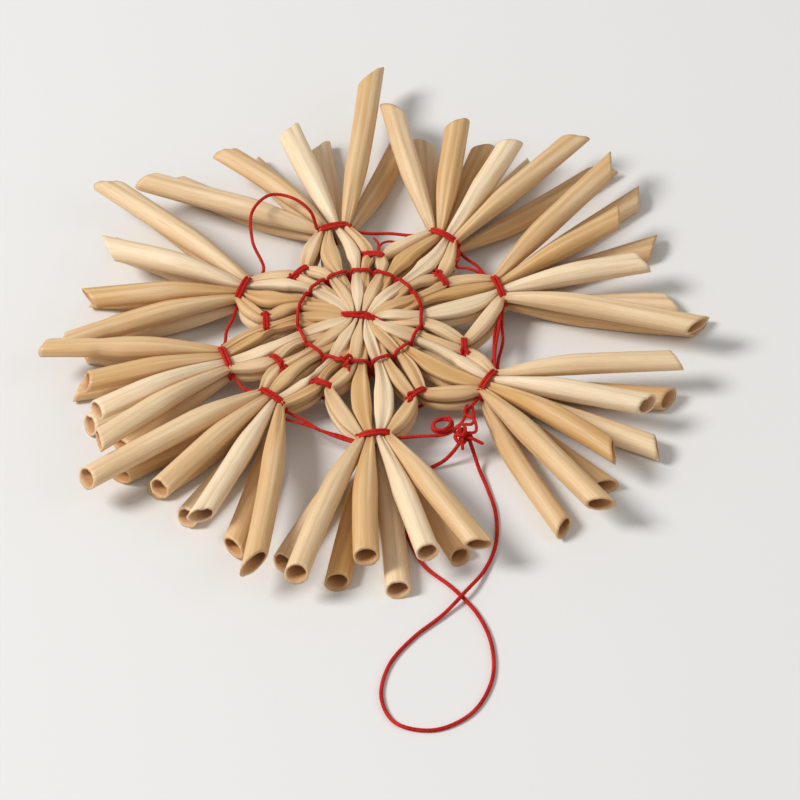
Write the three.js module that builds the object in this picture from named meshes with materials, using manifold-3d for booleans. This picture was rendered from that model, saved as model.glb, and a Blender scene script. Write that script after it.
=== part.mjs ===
// Straw star: whole straws pinched together in the middle, fanned out flat in two layers and bound
// with red thread. Millimetres, +Z up. The star lies flat on its lower straws, and bearings are
// degrees anticlockwise from +X, seen from above.
import * as THREE from 'three';
import { mergeVertices } from 'three/addons/utils/BufferGeometryUtils.js';
import Module from 'manifold-3d';

const wasm = await Module();
wasm.setup();

// ---- Driving dimensions ----

const STRAW = { diameter: 3.2, flat: 0.5, wall: 0.28, hollow: 2.4 };
const LAYER_GAP = 0.12; // between the upper and the lower straws
const DOME = 0.9; // how far the middle stands above the fan ties
const CLEARANCE = { side: 0.38, pairSide: 0.3, ring: 0.1, top: 0.16 }; // between a thread and the straws that it holds

// The pinched bundle: columns of straws across it, two rows in each layer.
const BUNDLE = { bearing: 45, columns: 8, pitch: 0.6, row: 0.8, width: 0.46, height: 0.55 };

// Widths and heights of one straw where a thread squeezes it, and its pitch there.
const RING = { radius: 7.4, pitch: 1.08, width: 1.0, height: 1.2 };
const PAIR = { pitch: 1.2, width: 1.1, height: 1.2 };
const TIE = { pitch: 0.98, width: 0.9, height: 1.2 };

// Between the threads a straw swells into a petal, bowed away from the next one.
const PETALS = {
  direct: { width: 2.4, height: 1.5, bow: 0.68 },
  inner: { width: 1.7, height: 1.4, bow: 0.3 },
  outer: { width: 2.0, height: 1.5, bow: 0.35 },
};
const SWELL = 0.75; // below 1 a petal is blunt, above it is pointed
const FLARE = { length: 10, ease: 1.6 }; // a free end opens to a round tube over this length
const SNUG = 0.92; // share of the room between two neighbours that a straw fills

const THREAD = { radius: 0.22, band: 0.18, thin: 0.15 };
const RING_GAP = { knotted: 225, dip: 0.26 }; // bearing of the gap with the knot, and how far the rounds part in the other gaps
const KNOT = { loop: 0.75, curl: 1.2, curlThread: 0.286, place: [0.75, -21.85, 0.1] };
const BAND_CORNER = { across: 0.8, acrossShare: 0.55, down: 0.7, downShare: 0.5 }; // what a band's corners are cut back by, at most
const LOOP = { diameter: 0.5, steps: 78 };

// The hanging loop's route over the surface that the star lies on, with heights above the
// middle plane of the star. It leaves the knot, runs past the tips of the sixth fan, turns and comes
// back between that fan's lower straws, crossing under itself once.
const LOOP_ROUTE = [
  [1.3, -22.3, -0.5], [1.1, -23.4, -1.5], [0.7, -25.2, -2.7], [0, -28, -3], [-1.4, -32, -3],
  [-4, -36, -3], [-7.4, -38.8, -2.85], [-11.2, -40.6, -2.4], [-15.2, -41.8, -2.85], [-20, -42.7, -3],
  [-24.6, -44.6, -3], [-28, -48.2, -3], [-28.7, -52.4, -3], [-25.6, -55.8, -3],
  [-20.7, -56.2, -3], [-16, -53.4, -3], [-13, -48.8, -3], [-11.8, -44, -3],
  [-12, -39, -3], [-12.9, -34, -3], [-12.1, -29.4, -3], [-11, -25.2, -3],
  [-10.1, -22.6, -3], [-8.6, -21.1, -3], [-6.4, -21, -3], [-4, -21.6, -2.9],
  [-2.2, -22, -2.3], [-0.8, -22.1, -1.3], [0.2, -22, -0.4],
];

// The eight fans, clockwise: the bearing and radius of the tie, and the free ends of the upper and
// the lower straws, clockwise, as [heading, length, slope of the cut, roll of the cut's long side,
// and how far the tip rises above its layer, if it does].
const FANS = [
  {
    bearing: 123.5, radius: 15.6,
    upper: [[167, 22.2, 0.7, 20], [151, 18.6, 0.6, 160], [127, 17.9, 0.9, 150], [105, 23.3, 1.1, 20]],
    lower: [[158, 20, 0.6, 200], [139, 18, 0.6, 340], [116, 19, 0.7, 200], [97, 17, 0.6, 340]],
  },
  {
    bearing: 69, radius: 16.3,
    upper: [[126, 23, 0.8, 10], [103, 18, 0.6, 20], [78, 17, 0.5, 190], [50, 25, 1.2, 190]],
    lower: [[115, 22, 0.6, 340], [92, 17, 0.6, 200], [66, 16.5, 0.7, 200], [35, 17, 0.6, 340]],
  },
  {
    bearing: 21.5, radius: 17.4,
    upper: [[71, 20.5, 0.9, 20], [50, 18, 0.6, 190], [29, 17, 0.5, 200], [14, 22.3, 0.8, 190]],
    lower: [[61, 17.8, 0.6, 340], [40, 18, 0.6, 200], [21, 18, 0.7, 340], [5, 23.5, 0.9, 190]],
  },
  {
    bearing: -15, radius: 17.7,
    upper: [[18, 23, 1.2, 10], [1, 18.2, 0.7, 10], [-22, 17.8, 0.5, 200], [-48, 24.5, 0.8, 10]],
    lower: [[9, 24, 0.9, 10], [-9, 21, 0.8, 20], [-32, 21, 0.7, 200], [-40, 24, 0.7, 340]],
  },
  {
    bearing: -65.5, radius: 18.4,
    upper: [[-31, 22, 0.6, 200], [-49, 19.6, 0.6, 340], [-71, 19.3, 0.9, 200], [-87, 24, 0.8, 10]],
    lower: [[-39, 21, 0.6, 340], [-58, 22, 0.6, 200], [-78, 20, 0.7, 340], [-97, 22, 0.6, 200]],
  },
  {
    bearing: 243, radius: 18.3,
    upper: [[268, 21.4, 0.6, 10], [254, 20.2, 0.4, 270], [236, 19.7, 0.4, 270], [218, 23.3, 0.5, 250]],
    lower: [[264, 19, 0.5, 270], [243, 22, 0.4, 270], [226, 20.7, 0.5, 250], [208, 19.5, 0.5, 290]],
  },
  {
    bearing: 195, radius: 15.8,
    upper: [[231, 26, 1.3, 190], [213, 20.6, 0.8, 190], [197, 19.8, 0.4, 270], [181, 25, 0.5, 270]],
    lower: [[222, 21, 0.6, 340], [204, 19, 0.5, 270], [189, 18, 0.5, 250], [178, 20, 0.6, 200]],
  },
  {
    bearing: 165, radius: 17.1,
    upper: [[189, 20.4, 0.6, 340, 1.8], [177, 17.7, 0.4, 270, 0.8], [162, 17.1, 0.5, 290], [146, 21.3, 0.7, 20]],
    lower: [[183, 16, 0.5, 250], [170, 18, 0.5, 270], [154, 18, 0.6, 340], [138, 17, 0.6, 200]],
  },
];

// The pair tie between each fan and the next one clockwise: its bearing and radius, and the way
// that its straws run through it.
const PAIR_TIES = [
  [98.5, 10.9, 99], [47, 10.7, 47], [0, 11.9, -3], [-51.5, 13.4, -33],
  [-92, 13.8, -91], [-145.5, 11.3, -149], [179.8, 11.8, 180], [147, 11.4, 147],
];

const ROUGHNESS = { straw: 0.5, thread: 0.85 };
const COLOURS = { straw: [0xe6cf9f, 0xd9b980, 0xf0e0bd, 0xdcc08c], thread: 0xb5121b };

// ---- Small geometry helpers ----

const UP = new THREE.Vector3(0, 0, 1);
const radians = THREE.MathUtils.degToRad;
const mix = THREE.MathUtils.lerp;
const smoothstep = THREE.MathUtils.smoothstep;
const heading = (bearing) => new THREE.Vector2(Math.cos(radians(bearing)), Math.sin(radians(bearing)));
const leftOf = (bearing) => heading(bearing + 90);
const place = (bearing, along, left) =>
  heading(bearing).multiplyScalar(along).addScaledVector(leftOf(bearing), left);

// A closed mesh from rings of points. Each end is a fan from its first point or from a given apex.
function loft(rings, { closed = false, apexes = [] } = {}) {
  const sides = rings[0].length;
  const points = rings.flat();
  const faces = [];
  const spans = closed ? rings.length : rings.length - 1;
  for (let i = 0; i < spans; i++) {
    const near = i * sides;
    const far = ((i + 1) % rings.length) * sides;
    for (let k = 0; k < sides; k++) {
      const next = (k + 1) % sides;
      faces.push(near + k, near + next, far + next, near + k, far + next, far + k);
    }
  }
  if (!closed) {
    const last = (rings.length - 1) * sides;
    if (apexes.length) {
      points.push(...apexes);
      for (let k = 0; k < sides; k++) {
        const next = (k + 1) % sides;
        faces.push(next, k, rings.length * sides);
        faces.push(last + k, last + next, rings.length * sides + 1);
      }
    } else {
      for (let k = 1; k < sides - 1; k++) {
        faces.push(0, k + 1, k, last, last + k, last + k + 1);
      }
    }
  }
  const geometry = new THREE.BufferGeometry();
  geometry.setAttribute('position', new THREE.Float32BufferAttribute(points.flatMap((p) => p.toArray()), 3));
  geometry.setIndex(faces);
  return facingOut(geometry);
}

function facingOut(geometry) {
  const at = geometry.getAttribute('position');
  const corners = geometry.getIndex().array;
  const [a, b, c] = [new THREE.Vector3(), new THREE.Vector3(), new THREE.Vector3()];
  let volume = 0;
  for (let i = 0; i < corners.length; i += 3) {
    [a, b, c].forEach((v, k) => v.fromBufferAttribute(at, corners[i + k]));
    volume += a.dot(b.clone().cross(c));
  }
  if (volume < 0) {
    for (let i = 0; i < corners.length; i += 3) {
      [corners[i + 1], corners[i + 2]] = [corners[i + 2], corners[i + 1]];
    }
  }
  return geometry;
}

// A thread of rectangular section along a curve. sideways gives one axis of the section.
function thread(curve, steps, sideways, { closed = false, across = THREAD.radius, deep = THREAD.radius } = {}) {
  const rings = [];
  const count = closed ? steps : steps + 1;
  for (let i = 0; i < count; i++) {
    const centre = curve.getPoint(i / steps);
    const along = curve.getTangent(i / steps);
    const side = sideways(centre, along).projectOnPlane(along).normalize();
    const rise = along.clone().cross(side);
    rings.push([[1, 1], [-1, 1], [-1, -1], [1, -1]].map(([u, v]) =>
      centre.clone().addScaledVector(side, u * across).addScaledVector(rise, v * deep)));
  }
  return loft(rings, { closed });
}

const flatSide = (centre, along) => along.clone().cross(UP);
const raised = ({ x, y }, z) => new THREE.Vector3(x, y, z);
const spline = (points, closed = false) => new THREE.CatmullRomCurve3(points, closed, 'centripetal');

const WELD = 1e-4; // points nearer than this are one point
const JOIN_TOLERANCE = 0.01; // edges shorter than this are closed up where meshes are joined

// Several closed meshes joined into one.
function fused(geometries) {
  const solids = geometries.map((geometry) => {
    const bare = mergeVertices(geometry.clone().deleteAttribute('normal').deleteAttribute('uv'), WELD);
    return new wasm.Manifold(new wasm.Mesh({
      numProp: 3,
      vertProperties: new Float32Array(bare.getAttribute('position').array),
      triVerts: new Uint32Array(bare.getIndex().array),
    }));
  });
  const whole = solids.reduce((sum, solid) => sum.add(solid)).asOriginal().simplify(JOIN_TOLERANCE).getMesh();
  const geometry = new THREE.BufferGeometry();
  geometry.setAttribute('position', new THREE.BufferAttribute(whole.vertProperties, 3));
  geometry.setIndex(new THREE.BufferAttribute(whole.triVerts, 1));
  return geometry;
}

// ---- Where a straw runs ----

const FAN_RAYS = 4; // rays of each layer in a fan
const RAYS = FANS.length * FAN_RAYS;
const ROWS_MERGE = 0.7; // where between the middle and the ring the two rows of a layer come together
const DISC_TURN = 0.43; // where, as a share of the ring's radius, a straw has turned towards the ring
const FIRST_RAY = 129.375; // bearing of the first ray; the others follow clockwise
const dome = (radius) => DOME * (1 - smoothstep(radius, RING.radius, FANS[0].radius));

// The spans of a ray from the middle outwards, each with its plan curve and its squeeze at both
// ends. A ray is one half of a straw.
function raySpans(ray, layer) {
  const fan = Math.floor(ray / FAN_RAYS);
  const slot = ray % FAN_RAYS;
  const forward = ray < RAYS / 2;
  const order = forward ? ray : RAYS - 1 - ray;
  const column = Math.floor(order / 2);
  const inner = order % 2 === 1;
  const ringBearing = FIRST_RAY - (360 / RAYS) * (2 * Math.floor(ray / 2) + 0.5);
  const atRing = place(ringBearing, RING.radius, RING.pitch * (ray % 2 === 0 ? 0.5 : -0.5));
  const start = place(BUNDLE.bearing, 0, BUNDLE.pitch * ((BUNDLE.columns - 1) / 2 - column));
  const outwards = BUNDLE.bearing + (forward ? 0 : 180);
  const rowHeight = layer * BUNDLE.row * (inner ? 0.5 : 1.5);
  const disc = new THREE.CubicBezierCurve(
    start,
    start.clone().add(heading(outwards)),
    atRing.clone().multiplyScalar(DISC_TURN),
    atRing,
  );
  const { bearing, radius, upper, lower } = FANS[fan];
  const atTie = place(bearing, radius, TIE.pitch * ((FAN_RAYS - 1) / 2 - slot));
  const side = slot < FAN_RAYS / 2 ? 1 : -1;
  const [way, length, slope, roll, lift = 0] = (layer > 0 ? upper : lower)[slot];
  const spans = [{ kind: 'disc', plan: (t) => disc.getPoint(t), from: BUNDLE, to: RING, rowHeight, faces: ringBearing }];
  if (slot === 0 || slot === FAN_RAYS - 1) {
    const [pairBearing, pairRadius, pairWay] = pairTieOf(fan, side);
    const atPair = place(pairBearing, pairRadius, 0).addScaledVector(leftOf(pairWay), -side * PAIR.pitch / 2);
    spans.push({
      kind: 'inner', plan: bowed(atRing, atPair, -side * PETALS.inner.bow), from: RING, to: PAIR, faces: pairWay,
    });
    spans.push({
      kind: 'outer', plan: bowed(atPair, atTie, side * PETALS.outer.bow), from: PAIR, to: TIE, faces: bearing,
    });
  } else {
    const spread = Math.abs(turn(pairTieOf(fan, side)[0] - bearing)) / (180 / FANS.length);
    const bow = side * PETALS.direct.bow * Math.min(1, spread);
    spans.push({ kind: 'direct', plan: bowed(atRing, atTie, bow), from: RING, to: TIE, faces: bearing });
  }
  const tip = atTie.clone().addScaledVector(heading(way), length);
  spans.push({ kind: 'free', plan: (t) => atTie.clone().lerp(tip, t), from: TIE, length, slope, roll, lift });
  return spans.map((span) => ({ ...span, layer, ray }));
}

// The pair tie on the left (1) or the right (-1) of a fan, looking outwards.
const pairTieOf = (fan, side) => PAIR_TIES[side > 0 ? (fan + FANS.length - 1) % FANS.length : fan];
const turn = (angle) => THREE.MathUtils.euclideanModulo(angle + 180, 360) - 180;

// A plan curve from one point to another that bows to its left by the given amount.
function bowed(from, to, bow) {
  const left = to.clone().sub(from).normalize().rotateAround(new THREE.Vector2(), Math.PI / 2);
  return (t) => from.clone().lerp(to, t).addScaledVector(left, 4 * bow * t * (1 - t));
}

// Width, height and middle height of a straw at one place in a span, before its neighbours squash it.
function section(span, t) {
  const at = span.plan(t);
  const rise = dome(at.length());
  const stacked = (height) => span.layer * (LAYER_GAP + height) / 2 + rise;
  if (span.kind === 'disc') {
    const merge = smoothstep(t, ROWS_MERGE, 1);
    const height = mix(BUNDLE.height, RING.height, merge);
    const width = mix(BUNDLE.width, RING.width, t * t);
    return { at, width, height, z: mix(span.rowHeight + rise, stacked(height), merge) };
  }
  if (span.kind === 'free') {
    const open = 1 - (1 - Math.min(1, t * span.length / FLARE.length)) ** FLARE.ease;
    const height = mix(TIE.height, STRAW.diameter, open);
    return { at, width: mix(TIE.width, STRAW.diameter, open), height, z: stacked(height) + span.lift * t };
  }
  const petal = PETALS[span.kind];
  const swell = Math.sin(Math.PI * t) ** SWELL;
  const height = mix(mix(span.from.height, span.to.height, t), petal.height, swell);
  const width = mix(mix(span.from.width, span.to.width, t), petal.width, swell);
  return { at, width, height, z: stacked(height) };
}

const layers = [1, -1].map((layer) => Array.from({ length: RAYS }, (_, ray) => raySpans(ray, layer)));

// Every ray's plan line beyond the ring, for measuring the room between neighbours.
const LINE_STEPS = 12;
const lines = layers.map((rays) => rays.map((spans) => spans.filter(({ kind }) => kind !== 'disc')
  .flatMap(({ plan, lift = 0 }) => Array.from({ length: LINE_STEPS + 1 }, (_, i) => {
    const t = i / LINE_STEPS;
    return new THREE.Vector3(plan(t).x, plan(t).y, lift * t);
  }))));

function roomBeside({ kind, layer, ray, lift = 0 }, t, { x, y }) {
  const at = new THREE.Vector3(x, y, lift * t);
  const rays = lines[layer > 0 ? 0 : 1];
  const distances = [ray + 1, ray + RAYS - 1].map((other) => nearest(rays[other % RAYS], at));
  const reach = (PAIR.pitch + PAIR.width) / 2 + 2 * THREAD.radius + CLEARANCE.pairSide;
  const slot = ray % FAN_RAYS;
  const [bearing, radius] = pairTieOf(Math.floor(ray / FAN_RAYS), slot < FAN_RAYS / 2 ? 1 : -1);
  const passes = kind === 'direct' ? 2 * (place(bearing, radius, 0).distanceTo(at) - reach) : Infinity;
  return Math.min(...distances, passes);
}

function nearest(line, at) {
  let best = Infinity;
  for (let i = 1; i < line.length; i++) {
    const step = line[i].clone().sub(line[i - 1]);
    const share = step.lengthSq() ? at.clone().sub(line[i - 1]).dot(step) / step.lengthSq() : 0;
    const foot = line[i - 1].clone().addScaledVector(step, THREE.MathUtils.clamp(share, 0, 1));
    best = Math.min(best, foot.distanceTo(at));
  }
  return best;
}

// ---- Straws ----

// Where along each span a section is placed.
const STATIONS = { disc: [ROWS_MERGE, 1], inner: [0.5, 1], outer: [0.5, 1], direct: [0.33, 0.68, 1], free: [0.45, 1] };
const FLAT_END = 2.5; // a lower straw that is longer than its flare by this much lies flat at its tip
const SHARP_BEND = [0.26]; // one more section where the outer straws of the bundle turn
const TURNING_COLUMNS = 2; // on each side of the bundle

function halfStraw(ray, layer) {
  const order = ray < RAYS / 2 ? ray : RAYS - 1 - ray;
  const column = Math.floor(order / 2);
  const turns = Math.min(column, BUNDLE.columns - 1 - column) < TURNING_COLUMNS;
  const spans = layers[layer > 0 ? 0 : 1][ray];
  return spans.flatMap((span) => {
    const stations = [...(span.kind === 'disc' && turns ? SHARP_BEND : []), ...STATIONS[span.kind]];
    if (layer < 0 && span.length > FLARE.length + FLAT_END) stations[0] = FLARE.length / span.length;
    return stations.map((t) => {
      const cut = section(span, t);
      const free = span.kind !== 'disc' && t < 1 || span.kind === 'free';
      const width = free ? Math.min(cut.width, SNUG * roomBeside(span, t, cut.at)) : cut.width;
      const faces = t === 1 ? span.faces : undefined;
      return { ...cut, width, faces, slope: span.slope, roll: span.roll };
    });
  });
}

function straw(ray, layer) {
  const ahead = halfStraw(ray, layer);
  const behind = halfStraw(RAYS - 1 - ray, layer);
  const middle = section(layers[layer > 0 ? 0 : 1][ray][0], 0);
  const stations = [...behind.reverse(), middle, ...ahead];
  const centres = stations.map(({ at, z }) => new THREE.Vector3(at.x, at.y, z));
  const rings = stations.map(({ width, height }, i) => {
    const before = centres[i].clone().sub(centres[Math.max(0, i - 1)]).setZ(0).normalize();
    const after = centres[Math.min(i + 1, centres.length - 1)].clone().sub(centres[i]).setZ(0).normalize();
    const along = before.add(after).normalize();
    if (stations[i].faces !== undefined) {
      const tied = heading(stations[i].faces).multiplyScalar(i < behind.length ? -1 : 1);
      along.set(tied.x, tied.y, 0);
    }
    const right = along.cross(UP);
    return hexagon(width, height).map(([x, z]) => centres[i].clone().addScaledVector(right, x).setZ(centres[i].z + z));
  });
  const first = endOf(stations[0], rings[0], centres[1], centres[0]);
  const last = endOf(stations.at(-1), rings.at(-1), centres.at(-2), centres.at(-1));
  rings[0] = first.rim;
  rings[rings.length - 1] = last.rim;
  if (layer < 0) return loft(rings);
  return loft([first.lip, ...rings, last.lip], { apexes: [first.bottom, last.bottom] });
}

function hexagon(width, height) {
  const [x, z, flat] = [width / 2, height / 2, STRAW.flat * width / 2];
  return [[x, 0], [flat, z], [-flat, z], [-x, 0], [-flat, -z], [flat, -z]];
}

// An obliquely cut end: the rim, the lip inside it and the bottom of the short hollow.
function endOf({ slope, roll }, ring, inside, centre) {
  const along = centre.clone().sub(inside).setZ(0).normalize();
  const left = UP.clone().cross(along);
  const long = left.multiplyScalar(Math.cos(radians(roll))).addScaledVector(UP, Math.sin(radians(roll)));
  const rim = ring.map((p) => p.clone().addScaledVector(along, slope * p.clone().sub(centre).dot(long)));
  const inner = 1 - 2 * STRAW.wall / STRAW.diameter;
  const lip = rim.map((p) => centre.clone().lerp(p, inner));
  return { rim, lip, bottom: centre.clone().addScaledVector(along, -STRAW.hollow) };
}

// ---- Threads ----

// A flat band round a stack of straws that is width wide and height high.
function wrap(bearing, radius, width, height, { band = THREAD.band, way = bearing, free = CLEARANCE.side } = {}) {
  const [x, z] = [width / 2 + THREAD.radius + free, height / 2 + THREAD.radius + CLEARANCE.top];
  const cutX = Math.min(BAND_CORNER.across, BAND_CORNER.acrossShare * x);
  const cutZ = Math.min(BAND_CORNER.down, BAND_CORNER.downShare * z);
  const corners = [[x, z - cutZ], [x - cutX, z], [cutX - x, z], [-x, z - cutZ],
    [-x, cutZ - z], [cutX - x, -z], [x - cutX, -z], [x, cutZ - z]];
  const rise = dome(radius);
  const points = corners.map(([left, up]) => {
    return raised(place(bearing, radius, 0).addScaledVector(leftOf(way), left), rise + up);
  });
  const sideways = () => raised(heading(way), 0);
  return thread(spline(points, true), points.length, sideways, { closed: true, across: band });
}

const stackHeight = (one) => LAYER_GAP + 2 * one.height;

function centreTie() {
  const rows = 4;
  const width = (BUNDLE.columns - 1) * BUNDLE.pitch + BUNDLE.width;
  const height = (rows - 1) * BUNDLE.row + BUNDLE.height;
  return wrap(BUNDLE.bearing, 0, width, height, { band: THREAD.thin });
}

// The thread goes round the star twice: where one round passes over a pair of straws the other
// passes under it. The rounds change places, and are knotted, at one gap between two pairs.
function ringThread() {
  const pairs = RAYS / 2;
  const over = stackHeight(RING) / 2 + THREAD.radius + CLEARANCE.top;
  const shoulder = RING.pitch / 2 + RING.width / 2 + CLEARANCE.ring;
  const points = [];
  for (let pair = 0; pair < 2 * pairs; pair++) {
    const bearing = RING_GAP.knotted - (360 / pairs) * (pair + 0.5);
    const second = pair >= pairs;
    const up = (pair % 2 === 0) === second ? -1 : 1;
    for (const side of [1, -1]) {
      points.push(raised(place(bearing, RING.radius, side * shoulder), dome(RING.radius) + up * over));
    }
    const swaps = pair % pairs === pairs - 1;
    const gap = place(bearing - 180 / pairs, RING.radius + (swaps ? 0 : up * RING_GAP.dip), 0);
    points.push(raised(gap, dome(RING.radius) + (swaps ? up * over : 0)));
  }
  const outwards = (centre) => new THREE.Vector3(centre.x, centre.y, 0);
  return thread(spline(points, true), points.length, outwards, { closed: true });
}

function pairTie([bearing, radius, way]) {
  return wrap(bearing, radius, PAIR.pitch + PAIR.width, stackHeight(PAIR), { way, free: CLEARANCE.pairSide, band: THREAD.thin });
}

// The ties of the fans with the strands between them. The first strand is slack and arches over a
// straw, and the fifth carries the curl and the knot where the hanging loop is tied on.
const ARCH = [[-5, 14.6, 1.6], [-3.6, 18.4, 3.2], [-0.6, 21.2, 3.9], [2.4, 20.2, 3.7], [4, 17.9, 3]];
const TANGLE = [[3.4, -18.9, 0.2], [1.4, -20.3, 0.3], [-0.8, -20.7, 0.2], [-3.6, -19, 0]];
const CURL = [-0.7, -19.5, 0.45];
const ARCH_LANDING = 0.9; // how far the arch comes down inside the edge of the next tie

function fanTies() {
  const width = (FAN_RAYS - 1) * TIE.pitch + TIE.width;
  const half = width / 2 + THREAD.radius + CLEARANCE.side;
  const wraps = FANS.map(({ bearing, radius }) => wrap(bearing, radius, width, stackHeight(TIE)));
  const strands = FANS.map(({ bearing, radius }, i) => {
    const next = FANS[(i + 1) % FANS.length];
    const between = { 0: ARCH, 4: TANGLE }[i] ?? [];
    const landing = between === ARCH ? [half - ARCH_LANDING, stackHeight(TIE) / 2 + THREAD.radius + CLEARANCE.top] : [half, 0];
    const from = raised(place(bearing, radius, -half), 0);
    const to = raised(place(next.bearing, next.radius, landing[0]), landing[1]);
    const points = [from, ...between.map((p) => new THREE.Vector3(...p)), to];
    const size = { across: THREAD.thin, deep: THREAD.thin };
    return thread(spline(points), points.length - 1, flatSide, size);
  });
  const [x, y, z] = CURL;
  const curl = new THREE.TorusGeometry(KNOT.curl, KNOT.curlThread, 5, 10).translate(x, y, z);
  const knot = new THREE.IcosahedronGeometry(KNOT.loop).translate(...TANGLE[1]);
  return fused([...wraps, ...strands, curl, knot]);
}

function loopKnot() {
  return new THREE.IcosahedronGeometry(KNOT.loop, 0).translate(...KNOT.place);
}

function hangingLoop() {
  const outline = new THREE.Shape();
  outline.absarc(0, 0, LOOP.diameter / 2, 0, 2 * Math.PI);
  const extrudePath = spline(LOOP_ROUTE.map((p) => new THREE.Vector3(...p)));
  return new THREE.ExtrudeGeometry(outline, { steps: LOOP.steps, curveSegments: 4, bevelEnabled: false, extrudePath });
}

// ---- The star ----

const star = new THREE.Group();
const add = (name, geometry, colour, roughness) => {
  const bare = mergeVertices(geometry.deleteAttribute('normal').deleteAttribute('uv'), WELD);
  const mesh = new THREE.Mesh(bare, new THREE.MeshStandardMaterial({ color: colour, roughness, metalness: 0 }));
  mesh.name = name;
  star.add(mesh);
};

let count = 0;
for (const layer of [1, -1]) {
  for (let ray = 0; ray < RAYS / 2; ray++) {
    const colour = COLOURS.straw[count % COLOURS.straw.length];
    count += 1;
    add(`straw_${String(count).padStart(2, '0')}`, straw(ray, layer), colour, ROUGHNESS.straw);
  }
}
add('centre_tie', centreTie(), COLOURS.thread, ROUGHNESS.thread);
add('inner_ring_thread', ringThread(), COLOURS.thread, ROUGHNESS.thread);
PAIR_TIES.forEach((tie, i) => add(`pair_tie_${i + 1}`, pairTie(tie), COLOURS.thread, ROUGHNESS.thread));
add('fan_tie_thread', fanTies(), COLOURS.thread, ROUGHNESS.thread);
add('loop_knot', loopKnot(), COLOURS.thread, ROUGHNESS.thread);
add('hanging_loop', hangingLoop(), COLOURS.thread, ROUGHNESS.thread);

// The origin is the middle of the star's underside, without the hanging loop.
const box = new THREE.Box3();
star.children.filter(({ name }) => name !== 'hanging_loop').forEach((mesh) => box.expandByObject(mesh));
star.position.set(-(box.min.x + box.max.x) / 2, -(box.min.y + box.max.y) / 2, -box.min.z);

export default star;
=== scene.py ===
"""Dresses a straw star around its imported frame: whole straws pinched in the middle and fanned out in
two layers, red threads that bind them, and a thread loop to hang it by. Plan sizes are in millimetres."""

import math
import random
from types import SimpleNamespace

import bmesh
import bpy
from bpy.props import FloatProperty, FloatVectorProperty, IntProperty, PointerProperty
from bpy.types import Operator, Panel, PropertyGroup
from mathutils import Matrix, Vector, noise
from mathutils.geometry import intersect_point_line


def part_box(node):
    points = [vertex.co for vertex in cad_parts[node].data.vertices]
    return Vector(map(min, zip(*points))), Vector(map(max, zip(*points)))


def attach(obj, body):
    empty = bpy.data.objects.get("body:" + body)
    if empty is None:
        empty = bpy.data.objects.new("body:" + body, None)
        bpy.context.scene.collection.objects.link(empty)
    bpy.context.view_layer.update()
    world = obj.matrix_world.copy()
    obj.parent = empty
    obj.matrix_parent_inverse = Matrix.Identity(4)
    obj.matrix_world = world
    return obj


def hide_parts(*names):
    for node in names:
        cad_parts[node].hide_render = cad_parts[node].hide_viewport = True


bl_info = {
    "name": "Straw Star",
    "version": (1, 0, 0),
    "blender": (4, 5, 0),
    "location": "View3D > Sidebar > Straw Star",
    "description": "Builds a star of whole straws bound with red thread",
    "category": "Add Mesh",
}

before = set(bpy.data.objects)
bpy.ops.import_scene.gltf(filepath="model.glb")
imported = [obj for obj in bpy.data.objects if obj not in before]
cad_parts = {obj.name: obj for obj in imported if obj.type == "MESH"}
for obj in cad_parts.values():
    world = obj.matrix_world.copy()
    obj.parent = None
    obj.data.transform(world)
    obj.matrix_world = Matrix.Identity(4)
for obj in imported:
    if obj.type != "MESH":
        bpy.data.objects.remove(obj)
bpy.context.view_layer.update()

MM = 0.001
UP = Vector((0, 0, 1))

# ---- Plan of the star, the same as the solids' ----

STRAW_DIAMETER = 3.2
LAYER_GAP = 0.12  # between the upper and the lower straws
DOME = 0.9  # how far the middle stands above the fan ties

# The pinched bundle: columns of straws across it, two rows in each layer.
BUNDLE = SimpleNamespace(bearing=45, columns=8, pitch=0.6, row=0.8, width=0.46, height=0.55)

# Widths and heights of one straw where a thread squeezes it, and its pitch there.
RING = SimpleNamespace(radius=7.4, pitch=1.08, width=1.12, height=1.2)
PAIR = SimpleNamespace(pitch=1.2, width=1.1, height=1.2)
TIE = SimpleNamespace(pitch=0.98, width=0.9, height=1.2)

# Between the threads a straw swells into a petal, bowed away from the next one.
PETALS = {
    "direct": SimpleNamespace(width=2.4, height=1.5, bow=0.68),
    "inner": SimpleNamespace(width=1.7, height=1.4, bow=0.3),
    "outer": SimpleNamespace(width=2.0, height=1.5, bow=0.35),
}
SWELL = 0.75  # below 1 a petal is blunt, above it is pointed
FLARE = SimpleNamespace(length=10, ease=1.6)  # a free end opens to a round tube over this length
SNUG = 0.97  # share of the room between two neighbours that a straw fills
BESIDE_PAIR_TIE = 0.5  # how far a petal keeps off the straws in a pair tie

# Inside the ring a straw is a wedge: its width at the middle, what it gains for each millimetre
# outwards, its widest, and where on its way it starts to narrow for the ring and to rise to it.
WEDGE = SimpleNamespace(start=0.08, gain=0.385, widest=1.46, narrows=0.86, rises=0.35)
ROWS_MERGE = 0.7  # where between the middle and the ring the two rows of a layer come together
DISC_TURN = 0.43  # where, as a share of the ring's radius, a straw has turned towards the ring
FAN_RAYS = 4  # rays of each layer in a fan; a ray is one half of a straw
FIRST_RAY = 129.375  # bearing of the first ray; the others follow clockwise
KNOTTED_GAP = 225  # bearing of the gap where the inner ring thread is knotted

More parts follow.
